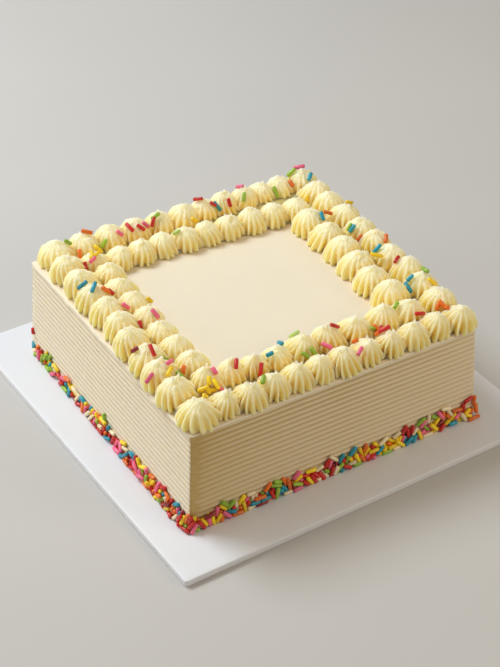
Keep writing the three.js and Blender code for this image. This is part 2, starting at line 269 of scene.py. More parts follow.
# Single strands beside the band: colour, middle over the board, direction and length. A separate script
# worked out the first three middles from places marked in the photograph.
LOOSE_STRANDS = [
    ("red", (-104.0, 103.2, 13.7), (0.1, 0.2, 1.0), 4.5),
    ("teal", (-104.6, 102.3, 3.0), (0.5, 1.0, 0.3), 5.5),
    ("green", (-104.2, 2.7, 10.9), (0.1, 0.6, 1.0), 6.0),
    ("orange", (102.1, -101.7, 12.0), (0.05, 0.1, -1.0), 7.5),
    ("orange", (103.6, -102.6, 5.6), (0.15, -0.1, -1.0), 7.5),
    ("orange", (100.1, -105.7, 1.3), (1.0, 0.05, 0.0), 9.0),
]

# A strand's four rings: part of the radius, how far from the end in radii, and which end
STRAND_RINGS = np.array([[0.78, 1.0, 1.0, 0.78], [0.12, 0.45, 0.45, 0.12], [-1, -1, 1, 1]])
STRAND_SIDES = 8

# Camera, as a separate script fitted it to the photograph: angles in radians, the rest in millimetres. Its
# place is sideways, up and back along its own axes from the middle of the board's top.
PHOTO_SIZE = (500, 667)
FOCAL_PIXELS = 1680.43
CAMERA_YAW = -0.56115
CAMERA_PITCH = 0.63966
CAMERA_ROLL = 0.01427
CAMERA_PLACE = (1.38859, 28.51402, 1088.51)
SENSOR = 36

# Soft lights: name, place from the cake, width and height in metres, watts and colour
SOFTBOXES = [
    ("key_softbox", (-0.46, 0.79, 1.16), (0.8, 0.6), 16.7, "#eff9ff"),
    ("front_reflector", (0.62, -0.82, 0.62), (0.6, 0.4), 2.8, "#fff0cc"),
    ("left_reflector", (-1.35, 0.5, 0.5), (0.9, 0.7), 3.8, "#fff5e4"),
]
WORLD_LIGHT = 0.375
FLOOR_REACH = 6000.0

# Mix node sockets for colours
MIX_A, MIX_B, MIX_RESULT = 6, 7, 2


def linear(code):
    """An sRGB hex colour as linear red, green, blue and alpha."""
    parts = np.array([int(code[i : i + 2], 16) / 255 for i in (1, 3, 5)])
    toe = parts / 12.92
    curve = ((parts + 0.055) / 1.055) ** 2.4
    return (*np.where(parts <= 0.04045, toe, curve).tolist(), 1.0)


def stray(seed, number, purpose):
    """A draw from -1 to 1 that depends only on its seed, number and purpose: the decimals of a large sine."""
    spread = np.sin(seed * 127.1 + number * 311.7 + purpose * 74.7) * 43758.5453
    return 2 * (spread - np.floor(spread)) - 1


def part_drawn(seed, number, purpose):
    """The same draw, from 0 to 1."""
    return stray(seed, number, purpose) * 0.5 + 0.5


def noise(points, size, seed):
    """Smooth noise from -1 to 1: a draw at each corner of a grid of cells that size, blended across them."""
    cell = np.asarray(points, float) / size
    low = np.floor(cell)
    part = smooth_step(cell - low)
    strides = np.array([157.31, 113.97, 271.13])[: cell.shape[-1]]
    total = np.zeros(cell.shape[:-1])
    for corner in itertools.product((0, 1), repeat=cell.shape[-1]):
        weight = np.prod(np.where(corner, part, 1 - part), axis=-1)
        total += weight * stray(seed, ((low + corner) * strides).sum(-1) % 9973, 1)
    return total


def waves(points, layers):
    """Layers of smooth noise, each with its height, length and seed."""
    return sum(height * noise(points, length, seed) for height, length, seed in layers)


def shake(points, strength, size, seed, upward):
    """Smooth shifts of a strength in three directions, of which the upward one is only a part."""
    return strength * (np.stack([noise(points, size, seed + way) for way in range(3)], -1) * [1, 1, upward])


def smooth_step(value):
    """0 below 0, 1 above 1, and a soft S between."""
    part = np.clip(value, 0, 1)
    return part * part * (3 - 2 * part)


def bell(distance, width):
    """1 at no distance, falling softly to nothing on both sides over about twice the width."""
    return np.exp(-((distance / width) ** 2))


def compass(turn):
    """Unit vectors at these angles."""
    return np.stack([np.cos(turn), np.sin(turn)], -1)


def outwards(way):
    """The way out of the cake beside a way along its edge, which runs anticlockwise."""
    return np.stack([way[..., 1], -way[..., 0]], -1)


def raised(plan, level):
    """Points over these places of the plan, at this level."""
    return np.concatenate([plan, np.broadcast_to(level, plan.shape[:-1])[..., None]], -1)


def shells(rings, low_ends, high_ends):
    """Closed shells from rings of points. rings is (shells, rows, columns, 3): each ring runs anticlockwise
    seen from its high end. A fan joins the first ring to the low end and the last ring to the high end.
    Returns points, quads and triangles."""
    count, rows, columns, _ = rings.shape
    index = np.arange(count * rows * columns).reshape(count, rows, columns)
    onward = np.roll(index, -1, axis=2)
    quads = np.stack([index[:, :-1], onward[:, :-1], onward[:, 1:], index[:, 1:]], -1).reshape(-1, 4)
    low = np.broadcast_to((index.size + np.arange(count))[:, None], (count, columns))
    high = low + count
    fans = np.stack([[low, onward[:, 0], index[:, 0]], [high, index[:, -1], onward[:, -1]]])
    points = np.concatenate([rings.reshape(-1, 3), low_ends, high_ends])
    return points, quads, np.moveaxis(fans, 1, -1).reshape(-1, 3)


def put_object(name, data):
    """A new object in the scene with this mesh, light or camera."""
    made = bpy.data.objects.new(name, data)
    bpy.context.scene.collection.objects.link(made)
    return made


def put_mesh(name, surface, attributes):
    """A smooth mesh object from points in millimetres, quads and triangles, with its attributes by name: one
    value or one colour a point."""
    points, quads, triangles = surface
    mesh = bpy.data.meshes.new(name)
    corners = np.concatenate([quads.ravel(), triangles.ravel()]).astype(np.int32)
    sides = np.repeat([4, 3], [len(quads), len(triangles)])
    starts = (np.cumsum(sides) - sides).astype(np.int32)
    mesh.vertices.add(len(points))
    mesh.vertices.foreach_set("co", (points * MM).astype(np.float32).ravel())
    mesh.loops.add(len(corners))
    mesh.loops.foreach_set("vertex_index", corners)
    mesh.polygons.add(len(sides))
    mesh.polygons.foreach_set("loop_start", starts)
    mesh.polygons.foreach_set("use_smooth", np.ones(len(sides), bool))
    for title, values in attributes.items():
        kind, field = ("FLOAT", "value") if values.ndim == 1 else ("FLOAT_COLOR", "color")
        made = mesh.attributes.new(title, kind, "POINT")
        made.data.foreach_set(field, values.astype(np.float32).ravel())
    mesh.update()
    if mesh.validate():
        raise ValueError(f"the mesh of {name} had faulty faces")
    return put_object(name, mesh)


def join_solids(name, solids):
    """One piece from closed meshes that overlap: their union, with everything inside it gone."""
    others = bpy.data.collections.new(name)
    for other in solids[1:]:
        bpy.context.scene.collection.objects.unlink(other)
        others.objects.link(other)
    bpy.context.scene.collection.children.link(others)
    union = solids[0].modifiers.new("union", "BOOLEAN")
    union.operation = "UNION"
    union.operand_type = "COLLECTION"
    union.collection = others
    union.solver = "MANIFOLD"
    seen = solids[0].evaluated_get(bpy.context.evaluated_depsgraph_get())
    mesh = bpy.data.meshes.new_from_object(seen)
    mesh.name = name
    mesh.materials.clear()
    mesh.set_sharp_from_angle(angle=math.radians(55))
    for other in solids:
        bpy.data.objects.remove(other)
    bpy.data.collections.remove(others)
    return put_object(name, mesh)


def finish_piece(piece, material, slot, *nodes):
    """Gives a piece its material, hangs it under the root and hides the imported parts it stands for."""
    piece.data.materials.append(material)
    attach(piece, "root")
    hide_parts(*nodes)


def flare_at(height):
    """How far the side stands outside the top edge at a height over the board: a straight taper."""
    return FOOT_FLARE * (1 - height / CAKE_HEIGHT)


def plan_columns():
    """The cake's outline as columns. Each corner is a quarter circle, and straight sides join them. Returns
    each column's place at the top edge, its shift for each millimetre of flare, its outward normal, its side
    and its distance along that side, which changes in the middle of the corner."""
    number = np.arange(4)[:, None]
    quarter = np.linspace(0, math.pi / 2, CORNER_COLUMNS)
    arcs = compass(math.pi + number * math.pi / 2 + quarter)
    signs = np.sign(CAKE_CORNERS)[:, None]
    rounded = CAKE_CORNERS[:, None] - signs * CORNER_RADIUS + CORNER_RADIUS * arcs
    before = np.arange(CORNER_COLUMNS) < CORNER_COLUMNS // 2
    round_corner = (quarter - math.pi / 4) * CORNER_RADIUS + before * SIDE_LENGTHS[number - 1]

    start = rounded[:, -1:]
    run = np.roll(rounded[:, :1], -1, 0) - start
    length = np.linalg.norm(run, axis=-1, keepdims=True)
    part = (np.arange(1, SIDE_COLUMNS + 1) / (SIDE_COLUMNS + 1))[:, None]
    straight = math.pi / 4 * CORNER_RADIUS + (part * length)[..., 0]
    halves = [
        (rounded, start + part * run),
        (np.repeat(signs, CORNER_COLUMNS, 1), signs + part * (np.roll(signs, -1, 0) - signs)),
        (arcs, np.repeat(outwards(run / length), SIDE_COLUMNS, 1)),
        (np.where(before, (number - 1) % 4, number), np.repeat(number, SIDE_COLUMNS, 1)),
        (round_corner, straight),
    ]
    return [np.concatenate(pair, 1).reshape(-1, *pair[0].shape[2:]) for pair in halves]


def comb_relief(places, sides, alongs, heights, sizes):
    """How far the icing stands out or in over the plain side, how far it's dragged on along the side, and how
    much painted shade it has. Ridges are a power of a sine of the height, whose phase drifts along
    the side. They fade into the smooth band under the top edge, where a soft lip stands out, start with
    rounded ends after the smooth strip beside each side's first corner, are deepest in mid stroke, and are
    dragged past its last corner. Painted shade darkens the grooves and the strip, and the whole side by its
    tint, most near the side's start and high up there."""
    here = {name: np.choose(sides, values) for name, values in COMB.items()}
    wall = raised(np.broadcast_to(places, (*heights.shape, 2)), heights)
    up = heights / CAKE_HEIGHT
    left_to_go = SIDE_LENGTHS[sides] - alongs
    drift = waves(wall, DRIFT_WAVES) + stray(5, sides, 2) * 0.3
    phase = (CAKE_HEIGHT - FIRST_GROOVE_DOWN - heights + drift) / (sizes.comb_pitch / MM * here["spacing"])
    crest = np.abs(np.sin(np.pi * phase)) ** here["sharpness"]

    strip = here["strip"] * (1 + 0.2 * stray(5, np.floor(phase) + sides * 50, 1))
    after_strip = smooth_step((alongs - strip) / STRIP_EDGE)
    taper = 1 - (1 - here["band_at_start"]) * (1 - smooth_step(alongs / BAND_TAPER))
    taper = taper * (1 - (1 - here["band_at_end"]) * (1 - smooth_step(left_to_go / BAND_TAPER)))
    edge = CAKE_HEIGHT - here["band"] * taper + waves(wall, BAND_WAVES)
    under_edge = smooth_step((CAKE_HEIGHT - TOP_EDGE_ROUNDING - heights) / UNDER_TOP_EDGE)
    combed = after_strip * (1 - smooth_step((heights - edge) / BAND_EDGE)) * under_edge

    pressure = 0.6 + 0.6 * up + waves(wall, PRESSURE_WAVES)
    mid_stroke = 0.92 + 0.3 * np.sin(np.pi * alongs / SIDE_LENGTHS[sides]) ** 2
    lifting = 1 - here["lost_at_end"] * np.exp(-left_to_go / LIFT_OFF)
    groove = combed * pressure * (1 - crest) * mid_stroke * lifting
    strip_depth = (0.5 + 0.6 * up) * (1 - after_strip) * smooth_step((edge + 1.5 - heights) / 2) * under_edge
    depth = sizes.comb_depth / MM * here["pressure"]
    lip = LIP * taper + here["ragged_lip"] * waves(wall, LIP_WAVES)
    lip = lip * bell(heights - (CAKE_HEIGHT - LIP_DOWN + waves(wall, LIP_LEVEL_WAVES)), LIP_WIDTH)
    relief = waves(wall, SIDE_WAVES) + lip - depth * (groove + strip_depth + 0.1 * (after_strip - combed))

    dragged = here["dragged"] * combed * crest * crest * np.exp(-left_to_go / DRAG)
    dragged = dragged * smooth_step((CAKE_HEIGHT - 3 - heights) / 3)
    # Painted shade: the grooves and the strip by their depth, and the whole side by its tint, most near its
    # start
    tint = here["tint"] * (1 + 2 * np.exp(-alongs / SHADE_FADE))
    tint = tint + here["shade_at_start"] * np.exp(-alongs / START_SHADE_FADE) * up**1.5
    return relief, dragged, np.maximum(groove, strip_depth) + tint


def iced_body(sizes):
    """The iced cake: rows of rings from the foot up the side, round the top edge and in over the top to its
    middle. Returns the surface and each point's painted shade."""
    places, shifts, normals, sides, alongs = plan_columns()
    levels = np.linspace(FOOT_GAP, CAKE_HEIGHT - TOP_EDGE_ROUNDING, BODY_ROWS)
    heights = np.broadcast_to(levels[:, None], (BODY_ROWS, len(places)))
    relief, dragged, groove = comb_relief(places, sides[None], alongs[None], heights, sizes)
    wall = places + shifts * flare_at(heights)[..., None] + normals * relief[..., None]
    wall = raised(wall + SIDE_WAYS[sides] * dragged[..., None], BOARD_TOP + heights)

    bend = np.linspace(0, math.pi / 2, EDGE_ROWS + 1)[1:, None]
    rounded = wall[-1, :, :2] - normals * (TOP_EDGE_ROUNDING * (1 - np.cos(bend)))[..., None]
    edge = raised(rounded, CAKE_TOP - TOP_EDGE_ROUNDING * (1 - np.sin(bend)))

    inward = 1 - (np.arange(1, TOP_ROWS + 1) / (TOP_ROWS + 1))[:, None]
    top = edge[-1, :, :2] * inward[..., None]
    top = raised(top, CAKE_TOP + waves(top, TOP_WAVES) * smooth_step((1 - inward) * 6))

    rings = np.concatenate([wall, edge, top])
    rings[..., :2] += CAKE_MIDDLE
    foot, middle = (raised(CAKE_MIDDLE[None], level) for level in (BOARD_TOP + FOOT_GAP, CAKE_TOP))
    surface = shells(rings[None], foot, middle)
    return surface, np.concatenate([groove.ravel(), np.zeros(len(surface[0]) - groove.size)])


def row_of_rosettes(ring, side):
    """The rosettes on one side of a ring, from one corner to the next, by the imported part's own rule: sizes
    vary, each step is as long as two neighbours' radii together, and the steps add up to the side's length.
    Radii are evened by one power of the sizes and heights by another."""
    count, seed = ring["counts"][side], ring["seeds"][side]
    number = np.arange(count)
    strays = {
        name: most * stray(seed, number, purpose) for purpose, (name, most) in enumerate(STRAYS.items(), 1)
    }
    following = (side + 1) % 4
    ends = ring["growth"][side], ring["growth"][following]
    drifted = 1 + ring["drifts"][side] * (2 * number / (count - 1) - 1)
    size = drifted * (1 + strays["size"])
    size[0], size[-1] = ends
    shown = size**SIZE_EVENED
    shown[0], shown[-1] = ends
    places = np.concatenate([[0], np.cumsum((size[:-1] + size[1:]) / 2)])
    start = ring["corners"][side]
    run = ring["corners"][following] - start
    length = np.hypot(*run)
    along = run / length
    out = outwards(along)
    usual = length / places[-1] * ROSETTE_OVERLAP / 2
    usual_height = usual * ROSETTE_HEIGHT_RATIO * ROW_HEIGHTS[side] * size**HEIGHT_EVENED
    row = {
        "middle": CAKE_MIDDLE + start + run * (places / places[-1])[:, None] + out * strays["sway"][:, None],
        "radius": usual * shown,
        "height": usual_height * (1 + strays["height"]),
        "turn": strays["turn"],
        "twist": strays["twist"],
        "lean": out * (ring["lean"] + strays["lean_out"])[:, None] + along * strays["lean_along"][:, None],
        "seed": seed + number,
        **{name: np.full(count, values[side]) for name, values in DOMES.items()},
    }
    keeps_corners = side % 2 == 0
    return row if keeps_corners else {name: values[1:-1] for name, values in row.items()}


def all_rows():
    """Every row of rosettes by its node's name. The near corner's rosette stands a little out of its row, and
    some at the back are lower than the rest."""
    rows = {
        f"{ring}_{side}": row_of_rosettes(RINGS[ring], number)
        for ring in RINGS
        for number, side in enumerate(SIDES)
    }
    rows["outer_front"]["middle"][0] += NEAR_CORNER_SHIFT
    rows["outer_back"]["height"][list(LOWER_AT_BACK)] *= list(LOWER_AT_BACK.values())
    return rows


def rosette_profile(power, rounding):
    """The profile from the foot up, as parts of the radius and the dome's height. The foot draws in under the
    belly by a power of the depth below it, and over it the radius falls by a power of the way to the tip."""
    low = np.linspace(0, BELLY, BELLY_ROWS, endpoint=False)
    below = 1 - FOOT_DRAW_IN * ((BELLY - low) / BELLY) ** FOOT_POWER
    way = np.sin(np.linspace(0, math.pi / 2, DOME_ROWS + 1))[:-1]
    above = (1 - way**power) ** rounding
    return np.concatenate([below, above]), np.concatenate([low, BELLY + (1 - BELLY) * way])


def rosettes_surface(row, sizes):
    """A row of rosettes. The profile is turned round the middle, grooves are cut along its normal in
    proportion to the width of a ridge there, a nib and a crown of two or three peaks are drawn up at the tip,
    and the whole twists and leans more the higher it goes. Ridges differ in width and depth, and the surface
    is dented and ragged near the tip. Returns rings, foot and tip points, painted shade in the valleys and at
    the foot, and painted highlight on the tips."""
    ridges = sizes.nozzle_teeth
    count = len(row["radius"])
    seed, wide, tall, turn, twist, relief, crown_height = (
        row[name][:, None, None] for name in ("seed", "radius", "height", "turn", "twist", "relief", "crown")
    )
    tooth = np.arange(ridges)
    sample = np.arange(RIDGE_SAMPLES) / RIDGE_SAMPLES
    across_ridge = np.tile(np.sin(math.pi * sample), ridges)
    widths = 1 + RIDGE_WIDTH_STRAY * stray(seed[..., 0], tooth, 21)
    bounds = np.concatenate([np.zeros((count, 1)), np.cumsum(widths, 1)], 1)
    bounds *= 2 * math.pi / bounds[:, -1:]
    angle = (bounds[:, :-1, None] + np.diff(bounds)[..., None] * sample).reshape(count, 1, -1)
    cut = 1 + RIDGE_CUT_STRAY * stray(seed[..., 0], tooth, 22)
    cut = (cut[..., None] * (1 - sample) + np.roll(cut, -1, 1)[..., None] * sample).reshape(count, 1, -1)
    swell = np.repeat(stray(seed, tooth, 23), RIDGE_SAMPLES, 2) * across_ridge

    part_radius, share = (part[:, None] for part in rosette_profile(row["power"][0], row["rounding"][0]))
    radius = wide * part_radius
    nib = NIB_HEIGHT + NIB_STRAY * stray(seed, 0, 24)
    dome = (tall - nib) * share
    slope_r, slope_h = np.gradient(radius, axis=1), np.gradient(dome, axis=1)
    slope = np.hypot(slope_r, slope_h)
    ridge_width = 2 * math.pi * radius / ridges
    near_tip = smooth_step((part_radius - 0.02) / 0.08)
    sharpness = 1.3 + 2.0 * smooth_step((share - 0.05) / 0.35)
    valley = relief * cut * (1 - across_ridge**sharpness)
    fading = 1.5 - 0.85 * smooth_step((share - 0.3) / 0.6)
    into = -sizes.ridge_depth * ridge_width * valley * near_tip * fading
    into = into + RIDGE_SWELL * ridge_width * swell

    theta = angle + (turn + twist * share)
    oval = 1 + OVAL * np.cos(2 * theta + 3 * stray(seed, 0, 25))
    reach = radius * oval + slope_h / slope * into
    peaks = np.where(stray(seed, 0, 35) > 0, 3, 2)
    around = np.cos(peaks * (theta - math.pi * stray(seed, 0, 36)))
    crown = crown_height * (1 + CROWN_STRAY * stray(seed, 0, 37)) * np.maximum(around, 0) ** 3
    crown = crown * bell(part_radius - CROWN_PLACE, CROWN_WIDTH)
    lift = dome + nib * bell(part_radius, NIB_WIDTH) + -slope_r / slope * into + crown
    lean = row["lean"][:, None, None] * share[..., None] ** 2
    plan = row["middle"][:, None, None] + lean + reach[..., None] * compass(theta)
    rings = raised(plan, PIPING_FOOT + lift)
    ragged, serrated = bell(1 - share, 0.2)[..., None], bell(share - 0.8, 0.25)[..., None]
    rough = ragged * shake(rings, *RAGGED_TIP) + shake(rings, *DENTS) + serrated * shake(rings, *CRUMBS)
    rings = rings + rough

    foot = raised(row["middle"], PIPING_FOOT)
    tip = raised(rings[:, -1, :, :2].mean(1), PIPING_FOOT + row["height"])
    # Painted shade: the valleys darker, most towards the foot, and the whole foot darker again
    groove = valley * near_tip * (1 - 0.8 * smooth_step((share - 0.4) / 0.5))
    groove = groove + 0.3 * (1 - smooth_step(share / 0.3))
    # Painted highlight: paler towards the tips
    return rings, foot, tip, groove, np.broadcast_to(bell(1 - share, 0.28), groove.shape)


def piping_bed(row, side, valley_outside):
    """The buttercream pressed together under a row, which fills the gaps between its rosettes and reaches
    into the valley between the rings: an arch, a part of the rosettes' height, carried along the row."""
    middle = row["middle"]
    count = len(middle)
    beyond = 0 if side % 2 == 0 else BED_BEYOND
    station = np.linspace(-beyond, count - 1 + beyond, 8 * count)
    middles = np.concatenate([2 * middle[:1] - middle[1:2], middle, 2 * middle[-1:] - middle[-2:-1]])
    path = np.stack([np.interp(station, np.arange(-1, count + 1), way) for way in middles.T], -1)
    run = middles[-1] - middles[0]
    turn = np.linspace(0, math.pi, BED_COLUMNS)
    wide = BED_WIDTHS if valley_outside else BED_WIDTHS[::-1]
    reach = np.where(np.cos(turn) > 0, wide[0], wide[1]) * np.cos(turn)
    level = BED_SHARE * row["height"].mean() * np.sin(turn) ** BED_ARCH
    plan = path[:, None] + outwards(run) / np.hypot(*run) * reach[:, None]
    return raised(plan, PIPING_FOOT + level * (1 + waves(plan, BED_WAVES)))


def profile_height(reach, power, rounding):
    """The height of a rosette's upper surface at a distance from its middle, both as parts: the profile
    turned round. Outside its radius there is none."""
    inside = 1 - np.clip(reach, 0, 1) ** (1 / rounding)
    return np.where(reach < 1, BELLY + (1 - BELLY) * inside ** (1 / power), -1)


def piping_height(points, rows):
    """The height of the piping over its foot at points of the plan: the highest of all rosettes there, or of
    the bed between them."""
    titles = ("middle", "lean", "radius", "height", "power", "rounding")
    middles, leans, radii, tops, powers, roundings = (
        np.concatenate([row[title] for row in rows.values()]) for title in titles
    )
    away = np.linalg.norm(points[..., None, :] - middles - 0.5 * leans, axis=-1) / radii
    in_valley = BED_SHARE * tops.mean() * (away.min(-1) < 1.2)
    return np.maximum((tops * profile_height(away, powers, roundings)).max(-1), 0.8 * in_valley)


def strand_surface(middles, directions, lengths, radius, seed):
    """Sugar strands: short rods with rounded ends, each a little thicker or thinner than the next. Four rings
    round the rod's line and a point at each end."""
    axis = directions / np.linalg.norm(directions, axis=1, keepdims=True)
    helper = np.where(np.abs(axis[:, 2:]) < 0.8, [[0.0, 0.0, 1.0]], [[1.0, 0.0, 0.0]])
    across = np.cross(helper, axis)
    across /= np.linalg.norm(across, axis=1, keepdims=True)
    upward = np.cross(axis, across)
    thick = radius * (1 + 0.07 * stray(seed, np.arange(len(middles)), 41))[:, None, None, None]
    turn = np.arange(STRAND_SIDES) * 2 * math.pi / STRAND_SIDES
    circle = across[:, None, None] * np.cos(turn)[:, None] + upward[:, None, None] * np.sin(turn)[:, None]
    ring_radius, set_back, way = STRAND_RINGS[..., None, None]
    place = way * ((lengths / 2)[:, None, None, None] - set_back * thick)
    rings = middles[:, None, None] + axis[:, None, None] * place + circle * ring_radius * thick
    ends = axis * (lengths / 2)[:, None]
    return shells(rings, middles - ends, middles + ends)


def strand_shades(names, colours, seed):
    """Each strand's colour, a little lighter or darker than the next, for every point of the strands: first
    the points of all rings, then the low ends, then the high ends."""
    base = np.array([list(getattr(colours, name)) for name in names])
    shade = 1 + 0.14 * stray(seed, np.arange(len(names)), 42)[:, None]
    shaded = np.concatenate([np.clip(base * shade, 0, 1), np.ones((len(names), 1))], 1)
    return np.concatenate([np.repeat(shaded, STRAND_RINGS.shape[1] * STRAND_SIDES, 0), shaded, shaded])


def wall_distance(points):
    """How far points stand outside the plain side of the cake, and the way out: the distance from a tapered
    four-sided form with rounded corners."""
    plan = points[:, :2] - CAKE_MIDDLE
    outward = outwards(SIDE_WAYS)
    flare = flare_at(points[:, 2] - BOARD_TOP)
    reach = ((plan[:, None] - CAKE_CORNERS) * outward).sum(-1) - flare[:, None] + CORNER_RADIUS
    past = np.maximum(reach, 0)
    nearest = reach == reach.max(1, keepdims=True)
    past = np.where(past.max(1, keepdims=True) > 0, past, nearest * 1e-6)
    length = np.linalg.norm(past, axis=1)
    way = (past[..., None] * outward).sum(1) / length[:, None]
    inside = np.minimum(reach.max(1), 0)
    return length + inside - CORNER_RADIUS, raised(way, 0)


def closest_shares(start_a, run_a, start_b, run_b):
    """For pairs of segments, how far along each the closest points lie, from 0 to 1."""
    between = start_a - start_b
    a, b, c = (run_a**2).sum(1), (run_a * run_b).sum(1), (run_b**2).sum(1)
    d, e = (run_a * between).sum(1), (run_b * between).sum(1)
    share_a = np.clip((b * e - c * d) / np.maximum(a * c - b * b, 1e-9), 0, 1)
    share_b = np.clip((b * share_a + e) / c, 0, 1)
    share_a = np.clip((b * share_b - d) / a, 0, 1)
    return share_a, share_b


def laid_strands(sizes):
    """The band's strands before they are eased apart: seeded places in two loose layers against the side,
    whose height and density blend from corner to corner. Returns middles, directions and lengths."""
    radius = sizes.strand_radius / MM
    number = np.arange(sizes.band_strands)
    length, step, slant, tilt = (stray(BAND_SEED, number, purpose) for purpose in (51, 52, 56, 57))
    length = (sizes.strand_length / MM) * (1 + 0.18 * length)
    along = (number + 0.5 + 0.5 * step) / len(number) * 4
    side = np.floor(along).astype(int) % 4
    within = along - np.floor(along)
    fullness, density = (
        np.take(values, side) * (1 - within) + np.take(values, (side + 1) % 4) * within
        for values in (BAND_FULLNESS, BAND_DENSITY)
    )
    fullness = fullness + BAND_HEAPED * smooth_step((within - BAND_HEAPED_FROM) / 0.15) * (side == 0)
    outer = part_drawn(BAND_SEED, number, 53) < BAND_OUTER_SHARE
    crest = BAND_TOP * fullness + BAND_TOP_REACH * noise(along[:, None] * 200, 9, 54)
    level = part_drawn(BAND_SEED, number, 55) * np.where(outer, 0.5, 1)
    height = radius + level * (crest - radius)
    stand_off = flare_at(height) + radius * np.where(outer, 0.8 + 2.6 * fullness, 0.8)
    tangent = SIDE_WAYS[side]
    outward = outwards(tangent)
    way_along = within * (1 + 2 * BAND_PAST_CORNER) - BAND_PAST_CORNER
    middle = CAKE_MIDDLE + CAKE_CORNERS[side] + SIDE_RUNS[side] * way_along[:, None]
    middle = raised(middle + outward * stand_off[:, None], BOARD_TOP + height)
    slant = np.sign(slant) * np.abs(slant) ** 1.25 * 1.35
    tilt = 0.9 * tilt
    level_way = tangent * np.cos(tilt)[:, None] + outward * np.sin(tilt)[:, None]
    direction = raised(level_way * np.cos(slant)[:, None], np.sin(slant))
    bare = (within < np.take(BAND_FROM, side)) | (within > np.take(BAND_TO, side))
    density = density + 0.22 * noise(along[:, None] * 200, 7, 59) - bare
    kept = part_drawn(BAND_SEED, number, 60) < density
    return middle[kept], direction[kept], length[kept]


def band_of_strands(sizes):
    """The strands heaped round the foot. They are eased apart in rounds: pairs that overlap move away from
    each other, and ends are kept out of the side and the board and drawn back towards the side. Returns
    middles, directions and lengths."""
    radius = sizes.strand_radius / MM
    middle, direction, length = laid_strands(sizes)
    count = len(length)
    core = (length - 1.5 * radius)[:, None]
    tails, heads = middle - direction * core / 2, middle + direction * core / 2
    neighbours = int(count / STRANDS_A_NEIGHBOUR) + 2
    first = np.repeat(np.arange(count), neighbours)
    second = (first + np.tile(np.arange(1, neighbours + 1), count)) % count
    for _ in range(BAND_ROUNDS):
        runs = heads - tails
        share_a, share_b = closest_shares(tails[first], runs[first], tails[second], runs[second])
        at_a = tails[first] + runs[first] * share_a[:, None]
        at_b = tails[second] + runs[second] * share_b[:, None]
        apart = at_a - at_b
        distance = np.maximum(np.linalg.norm(apart, axis=1), 1e-6)
        overlap = np.maximum(2 * radius * CLOSEST - distance, 0)
        push = apart / distance[:, None] * (overlap * PUSH)[:, None]
        for index, share, sign in ((first, share_a, 1), (second, share_b, -1)):
            np.add.at(tails, index, sign * push * (1 - share)[:, None])
            np.add.at(heads, index, sign * push * share[:, None])
        for ends in (tails, heads):
            distance, way = wall_distance(ends)
            ends += way * np.maximum(radius * NEAREST_SIDE - distance, 0)[:, None]
            ends -= way * (DRAWN_BACK * np.maximum(distance - radius * 1.1, 0))[:, None]
            ends[:, 2] -= np.where(distance > radius * 1.6, 0.06, 0.01)
            ends[:, 2] = np.maximum(ends[:, 2], BOARD_TOP + radius)
        middle = (tails + heads) / 2
        runs = heads - tails
        runs *= core / np.linalg.norm(runs, axis=1, keepdims=True) / 2
        tails, heads = middle - runs, middle + runs
    return (tails + heads) / 2, heads - tails, length


def clock(hour):
    """The angle of an hour on a clock in the plan, with 12 at the back of the cake."""
    return math.pi / 2 - hour * math.pi / 6


def read_token(token):
    """A strand's rosette number, colour name, clock hour, reach and any heading, from its token."""
    token, _, heading = token.partition(">")
    at = next(i for i, sign in enumerate(token) if sign.isalpha())
    letter = token[at]
    colour = next(name for name in STRAND_COLOURS if name[0] == letter.lower())
    near_tip = token[at + 1] == "'"
    hour = float(token[at + 1 :].lstrip("'"))
    reach = REACH["tip"] if near_tip else REACH["low"] if letter.isupper() else REACH["slope"]
    return int(token[:at]), colour, hour, reach, float(heading or "nan")


def piping_strands(sizes):
    """The strands that lie on the piping. Each is set at its place on its rosette, with its own heading or a
    seeded one, tilted to the slope under it and lowered until it rests a little sunk on the highest point
    under it. Returns middles, directions, lengths and colour names."""
    rows = all_rows()
    names, places, headings = [], [], []
    for row_name, tokens in PIPING_STRANDS.items():
        row = rows[row_name]
        for token in tokens.split():
            number, colour, hour, reach, heading = read_token(token)
            names.append(colour)
            headings.append(clock(heading))
            places.append(row["middle"][number] + row["radius"][number] * reach * compass(clock(hour)))
    places = np.array(places)
    number = np.arange(len(places))
    length = (sizes.strand_length / MM) * (0.98 + 0.26 * stray(BAND_SEED, number, 61))
    way = compass(np.where(np.isnan(headings), math.pi * stray(BAND_SEED, number, 62), headings))
    share = np.linspace(-0.5, 0.5, 9)
    level = np.ones(len(places))
    for _ in range(3):
        reach = (length * level)[:, None] * share
        under = piping_height(places[:, None] + way[:, None] * reach[..., None], rows)
        slope = np.clip((under * reach).sum(1) / (reach**2).sum(1), -STEEPEST, STEEPEST)
        level = 1 / np.hypot(1, slope)
    rest = (under - slope[:, None] * reach).max(1) + sizes.strand_radius / MM * STRAND_RAISED
    return raised(places, PIPING_FOOT + rest), raised(way, slope), length, names


def board_surface():
    """The card board: a rounded rectangle carried up a profile with rounded edges, then turned."""
    quarter = np.linspace(0, math.pi / 2, 7)
    arcs = compass((np.arange(4)[:, None] * math.pi / 2 + quarter).ravel())
    signs = np.array([[1, 1], [-1, 1], [-1, -1], [1, -1]])
    centres = np.repeat(signs * (BOARD_SIZE / 2 - BOARD_CORNER_RADIUS), len(quarter), 0)
    bend = np.linspace(-math.pi / 2, 0, 5)
    inset = BOARD_EDGE_ROUNDING * (1 - np.cos(bend))
    rise = BOARD_EDGE_ROUNDING * (1 + np.sin(bend))
    plan = centres + arcs * (BOARD_CORNER_RADIUS - np.concatenate([inset, inset[::-1]])[:, None, None])
    inner = np.linspace(0.97, 0.1, 12)[:, None, None]
    plan = np.concatenate([plan[0] * inner[::-1], plan, plan[-1] * inner])
    level = np.pad(np.concatenate([rise, BOARD_TOP - rise[::-1]]), len(inner), "edge")
    axes = compass(BOARD_TURN + np.array([0, math.pi / 2]))
    return shells(raised(plan @ axes, level[:, None])[None], np.zeros((1, 3)), np.array([[0, 0, BOARD_TOP]]))


